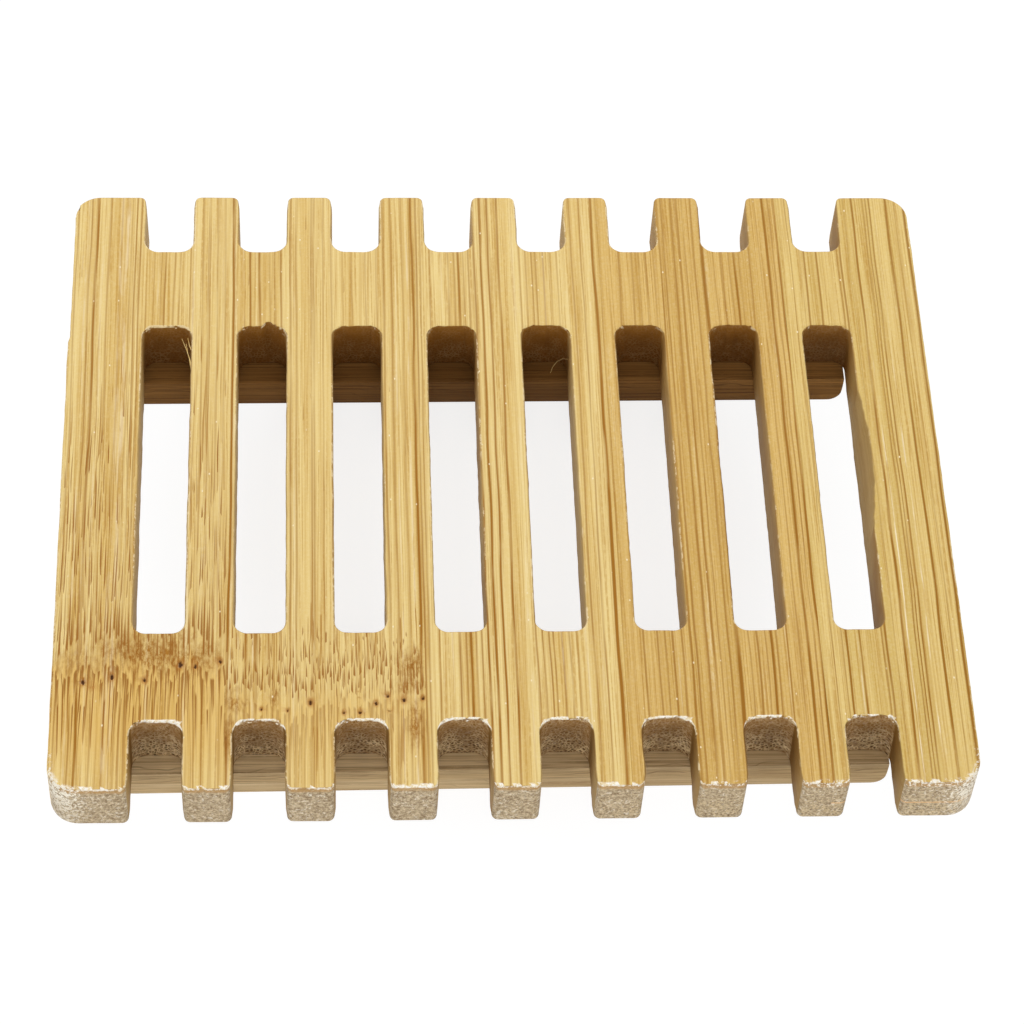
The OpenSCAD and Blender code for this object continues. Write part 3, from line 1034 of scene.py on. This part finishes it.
# Each strip's node and slot, where it is cut out of the board, and its grain: the offset into the solid
# bamboo, its tones, its knuckle, its dark and white lines, how much of the white ones is left at the rear,
# its pits and its splinters. A knuckle has its place, its reach towards the rear, the length of its dashes
# and the strength of its golden front and of its roots.
STRIPS = {
    "left_outer_board": dict(
        node="left_edge_strip", slot="knuckled_bamboo", cuts=dict(right=GLUE_LINES[0]), offset=(3, 40, 1),
        tones=PALE_TONES,
        knuckle=dict(
            y=-26.0, reach=40, dash=8.5, front=0.55, roots=0.85,
            stains=[(-43.0, -26.7, 9.0, 3.9, 1.0), (-37.0, -27.2, 3.0, 3.2, 0.85),
                    (-51.6, -28.2, 4.0, 2.8, 0.6)]),
        dark=[(-54.2, 0.14, 0.5), (-52.5, 0.16, 0.6), (-51.7, 0.24, 0.9), (-50.1, 0.16, 0.45),
              (-48.6, 0.16, 0.4), (-47.3, 0.14, 0.4), (-46.7, 0.16, 0.6), (-46.1, 0.16, 0.65),
              (-44.2, 0.12, 0.35), (-43.3, 0.12, 0.45), (-42.8, 0.18, 0.7), (-41.6, 0.14, 0.5),
              (-40.9, 0.16, 0.5), (-39.5, 0.14, 0.4), (-37.9, 0.16, 0.5), (-37.0, 0.16, 0.45),
              (-36.0, 0.18, 0.35), (-35.0, 0.14, 0.4)],
        white_behind=1.0,
        white=[(-52.9, 0.2, 0.4), (-50.85, 0.2, 0.25), (-48.5, 0.5, 0.3), (-47.8, 0.4, 0.45),
               (-43.65, 0.2, 0.25), (-39.1, 0.2, 0.35), (-35.3, 0.14, 0.2)],
        pits=[(-51.1, -30.4, 0.34), (-50.05, -31.0, 0.36), (-47.7, -29.7, 0.34), (-43.8, -30.2, 0.3),
              (-39.6, -28.0, 0.42), (-37.9, -28.2, 0.36), (-34.9, -27.6, 0.28)],
        splinters=[[(-39.1, 17.2, 0.25), (-39.5, 18.9, 0.25), (-39.95, 20.4, 0.3), (-40.45, 21.9, 0.4)],
                   [(-39.1, 16.4, 0.3), (-39.4, 18.2, 0.35), (-39.7, 19.8, 0.4), (-39.9, 21.2, 0.5)],
                   [(-39.1, 19.6, 0.3), (-39.5, 20.8, 0.3), (-39.7, 22.0, 0.35)]]),
    "left_inner_board": dict(
        node="left_inner_strip", slot="knuckled_bamboo", cuts=dict(left=GLUE_LINES[0], right=GLUE_LINES[1]),
        offset=(51, 7, 3), tones=PALE_TONES,
        knuckle=dict(
            y=-31.0, reach=10, dash=3.2, front=0.3, roots=0.45,
            stains=[(-12.2, -28.4, 1.9, 2.4, 1.0), (-12.4, -31.1, 1.9, 1.7, 0.85),
                    (-33.2, -33.2, 1.6, 2.0, 0.9), (-11.8, -36.5, 1.1, 3.8, 1.0),
                    (-28.4, -33.0, 0.7, 1.6, 0.8), (-33.6, -38.5, 1.0, 3.8, 0.9)]),
        dark=[(-34.0, 0.24, 0.9), (-31.8, 0.2, 0.85), (-30.6, 0.24, 0.8), (-29.3, 0.2, 0.35),
              (-28.65, 0.16, 0.4), (-27.85, 0.2, 0.65), (-26.65, 0.2, 0.55), (-25.9, 0.2, 0.4),
              (-24.0, 0.18, 0.45), (-23.7, 0.18, 0.4), (-22.5, 0.16, 0.35), (-21.4, 0.18, 0.45),
              (-19.9, 0.12, 0.3), (-18.7, 0.18, 0.5), (-16.9, 0.18, 0.4), (-15.5, 0.18, 0.35),
              (-14.6, 0.18, 0.55), (-13.6, 0.2, 0.5), (-12.2, 0.18, 0.35), (-10.9, 0.24, 0.85)],
        white_behind=0.8,
        white=[(-33.7, 0.2, 0.25), (-32.7, 0.2, 0.4), (-30.95, 0.2, 0.45), (-26.2, 0.16, 0.3),
               (-13.1, 0.16, 0.35), (-11.6, 0.2, 0.5)],
        pits=[(-24.15, -33.5, 0.36), (-20.2, -34.95, 0.24), (-18.3, -34.9, 0.26), (-18.4, -33.2, 0.18),
              (-16.4, -33.7, 0.28), (-15.0, -32.65, 0.28), (-14.8, -34.5, 0.26), (-13.1, -33.2, 0.34),
              (-10.85, -33.0, 0.26), (-18.5, -31.8, 0.16), (-30.0, -34.4, 0.2), (-26.9, -34.6, 0.16)]),
    "middle_board": dict(
        node="middle_strip", slot="plain_bamboo", cuts=dict(left=GLUE_LINES[1], right=GLUE_LINES[2]),
        offset=(97, 70, 5), tones=PALE_TONES,
        dark=[(-10.4, 0.2, 0.6), (-9.9, 0.14, 0.5), (-8.7, 0.16, 0.45), (-6.3, 0.18, 0.6),
              (-5.5, 0.16, 0.55), (-4.95, 0.24, 0.85), (-4.3, 0.14, 0.5), (-3.6, 0.16, 0.55),
              (-2.8, 0.22, 0.7), (-1.9, 0.24, 0.8), (-0.9, 0.2, 0.75), (0.4, 0.22, 0.75), (3.0, 0.16, 0.5),
              (3.8, 0.16, 0.5), (4.6, 0.14, 0.55), (5.1, 0.14, 0.55), (6.1, 0.16, 0.5), (7.0, 0.14, 0.45),
              (7.9, 0.14, 0.4), (9.9, 0.18, 0.5), (11.2, 0.16, 0.5), (12.8, 0.3, 0.9)],
        white_behind=0.5,
        white=[(-7.2, 0.16, 0.4), (2.2, 0.3, 0.35), (6.1, 0.14, 0.4), (9.0, 0.2, 0.3)],
        splinters=[[(9.25, 21.4, 4.2), (8.5, 21.6, 4.2), (7.7, 21.1, 4.2), (7.1, 20.3, 4.3),
                    (6.8, 19.5, 4.5)]]),
    "right_inner_board": dict(
        node="right_inner_strip", slot="plain_bamboo", cuts=dict(left=GLUE_LINES[2], right=GLUE_LINES[3]),
        offset=(23, 99, 7), tones=GOLDEN_TONES,
        dark=[(13.5, 0.12, 0.4), (16.0, 0.18, 0.55), (17.7, 0.18, 0.55), (18.6, 0.14, 0.5),
              (19.5, 0.18, 0.6), (20.6, 0.16, 0.5), (21.6, 0.2, 0.55), (22.2, 0.18, 0.6), (23.5, 0.2, 0.55),
              (24.3, 0.2, 0.6), (25.0, 0.14, 0.45), (26.1, 0.18, 0.5), (27.2, 0.34, 0.85),
              (28.6, 0.14, 0.5), (29.6, 0.2, 0.55), (30.6, 0.12, 0.45), (31.3, 0.22, 0.9),
              (31.9, 0.14, 0.5), (33.2, 0.14, 0.5), (34.6, 0.12, 0.4), (35.7, 0.26, 0.85),
              (36.5, 0.14, 0.5), (37.15, 0.2, 0.9)],
        white_behind=0.3,
        white=[(20.0, 0.12, 0.3), (24.0, 0.12, 0.3), (33.0, 0.12, 0.3)]),
    "right_upper_ply": dict(
        RIGHT_STRIP, node="right_edge_top_ply", cuts=dict(left=GLUE_LINES[3], low=PLY_LINE)),
    "right_lower_ply": dict(
        RIGHT_STRIP, node="right_edge_bottom_ply", cuts=dict(left=GLUE_LINES[3], high=PLY_LINE)),
}

# The lines drawn up the front face of a runner and on over its top, and how far round they go
RUNNER_LINES_WIDTH = 8.0
RUNNER_LINES = [(1.1, 0.07, 0.3), (2.1, 0.06, 0.35), (2.9, 0.08, 0.5), (3.7, 0.1, 0.7), (4.2, 0.06, 0.4),
                (5.2, 0.08, 0.5), (6.0, 0.07, 0.3)]

# Each runner's node, its turn out of square, the offset into the solid bamboo, how much painted shade
# darkens its front face, how much its left end, middle and right end are darkened, and its ground, bands,
# lines and drawn lines
RUNNERS = {
    "front_cross_bar": dict(
        node="front_runner", turn=math.radians(0.4), offset=(9, 5, 60), front_face_painted_shade=0.3,
        shades=(0.0, 0.06, 0.22),
        tones=(srgb(246, 224, 180), srgb(234, 208, 160), srgb(136, 102, 58), srgb(96, 66, 30))),
    # The rear runner's darker tones and its darker middle are painted shade
    "rear_cross_bar": dict(
        node="rear_runner", turn=math.radians(0.3), offset=(39, 45, 20), front_face_painted_shade=0.0,
        shades=(0.3, 0.62, 0.1),
        tones=(srgb(204, 154, 88), srgb(184, 136, 74), srgb(88, 54, 18), srgb(70, 42, 14))),
}


def build_dish():
    board = routed_board()
    wear_board(board)
    for name, strip in STRIPS.items():
        piece = strip_of(board, name, **strip["cuts"])
        if "pits" in strip:
            bore_pits(piece, strip["pits"])
        for path in strip.get("splinters", ()):
            raise_splinter(piece, path)
        soften(piece)
        piece.data.materials.clear()
        piece.data.materials.append(strip_finish(name + "_finish", strip))
        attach(piece, "root")
        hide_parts(strip["node"])
    bpy.data.objects.remove(board)
    for name, bar in RUNNERS.items():
        piece = runner(name, bar["node"], bar["turn"])
        piece.data.materials.clear()
        piece.data.materials.append(runner_finish(name + "_finish", bar))
        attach(piece, "root")
        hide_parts(bar["node"])


# --- the studio ---

# The floor, how far from its middle its shadow fades and is full, and how much of it shades there
FLOOR_WIDTH = 4
SHADOW_EDGE = 50 * MM
SHADOW_CORE = 25 * MM
SHADED_SHARE = (0.08, 0.34)


def seen_straight(tree):
    """1 where the camera sees something directly or mirrored, 0 where its light is only gathered."""
    rays = add(tree, "LightPath")
    return larger(rays["Is Camera Ray"], rays["Is Glossy Ray"])


def lay_floor():
    """A plain white floor with a faint shadow. From below it can be seen through."""
    bpy.ops.mesh.primitive_plane_add(size=FLOOR_WIDTH, location=(0, 0, -2 * TINY))
    floor = bpy.context.object
    floor.name = "floor"
    material = bpy.data.materials.new("white_paper")
    material.use_nodes = True
    tree = material.node_tree
    tree.nodes.clear()
    straight = seen_straight(tree)
    away = length_of(add(tree, "TexCoord")["Object"])
    shaded = remap(away, SHADOW_EDGE, SHADOW_CORE, *SHADED_SHARE)
    tone = add(tree, "CombineColor", {0: shaded, 1: shaded, 2: shaded})
    paper = add(tree, "BsdfDiffuse", {"Color": grey(0.85)})
    faint = add(tree, "BsdfDiffuse", {"Color": tone[0]})
    level = minus(1.02, times(shaded, 0.66))
    glow = add(tree, "Emission", {"Color": grey(1), "Strength": level})
    shown = add(tree, "AddShader", {0: faint[0], 1: glow[0]})
    both = add(tree, "MixShader", {0: straight, 1: paper[0], 2: shown[0]})
    clear = add(tree, "BsdfTransparent")
    behind = add(tree, "NewGeometry")["Backfacing"]
    whole = add(tree, "MixShader", {0: behind, 1: both[0], 2: clear[0]})
    add(tree, "OutputMaterial", {"Surface": whole[0]})
    floor.data.materials.append(material)


def light():
    """A white room, dimmer than it looks, and five softboxes round the dish."""
    world = bpy.data.worlds.new("studio")
    bpy.context.scene.world = world
    world.use_nodes = True
    tree = world.node_tree
    tree.nodes.clear()
    soft = add(tree, "Background", {"Color": grey(1), "Strength": 0.4})
    white = add(tree, "Background", {"Color": grey(1), "Strength": 1.0})
    both = add(tree, "MixShader", {0: seen_straight(tree), 1: soft[0], 2: white[0]})
    add(tree, "OutputWorld", {"Surface": both[0]})

    for name, place, size, energy in (
        ("rear_left_softbox", (-0.4, 0.5, 0.6), 0.4, 2.9),
        ("rear_right_softbox", (0.4, 0.5, 0.6), 0.4, 2.9),
        ("low_left_softbox", (-0.35, -0.6, 0.16), 0.25, 1.0),
        ("low_right_softbox", (0.35, -0.6, 0.16), 0.25, 0.85),
        ("front_softbox", (0, -0.5, 0.7), 0.4, 0.8),
    ):
        lamp = bpy.data.lights.new(name, "AREA")
        lamp.shape = "DISK"
        lamp.size = size
        lamp.energy = energy
        softbox = bpy.data.objects.new(name, lamp)
        softbox.location = place
        softbox.rotation_euler = (-softbox.location).to_track_quat("-Z", "Y").to_euler()
        bpy.context.collection.objects.link(softbox)


def place_camera():
    """The photo's view, solved from the outline of the plate and its slots."""
    lens = bpy.data.cameras.new("camera")
    lens.lens = 121.03
    lens.sensor_width = 36
    lens.clip_start = 0.01
    lens.clip_end = 20
    camera = bpy.data.objects.new("camera", lens)
    camera.location = (-0.02275, -0.25451, 0.3559)
    turn = (Matrix.Rotation(-0.0941, 3, "Z") @ Matrix.Rotation(0.6281, 3, "X")
            @ Matrix.Rotation(0.0717, 3, "Z"))
    camera.rotation_euler = turn.to_euler()
    bpy.context.collection.objects.link(camera)
    bpy.context.scene.camera = camera


build_dish()
lay_floor()
light()
place_camera()
bpy.context.scene.view_settings.view_transform = "Standard"
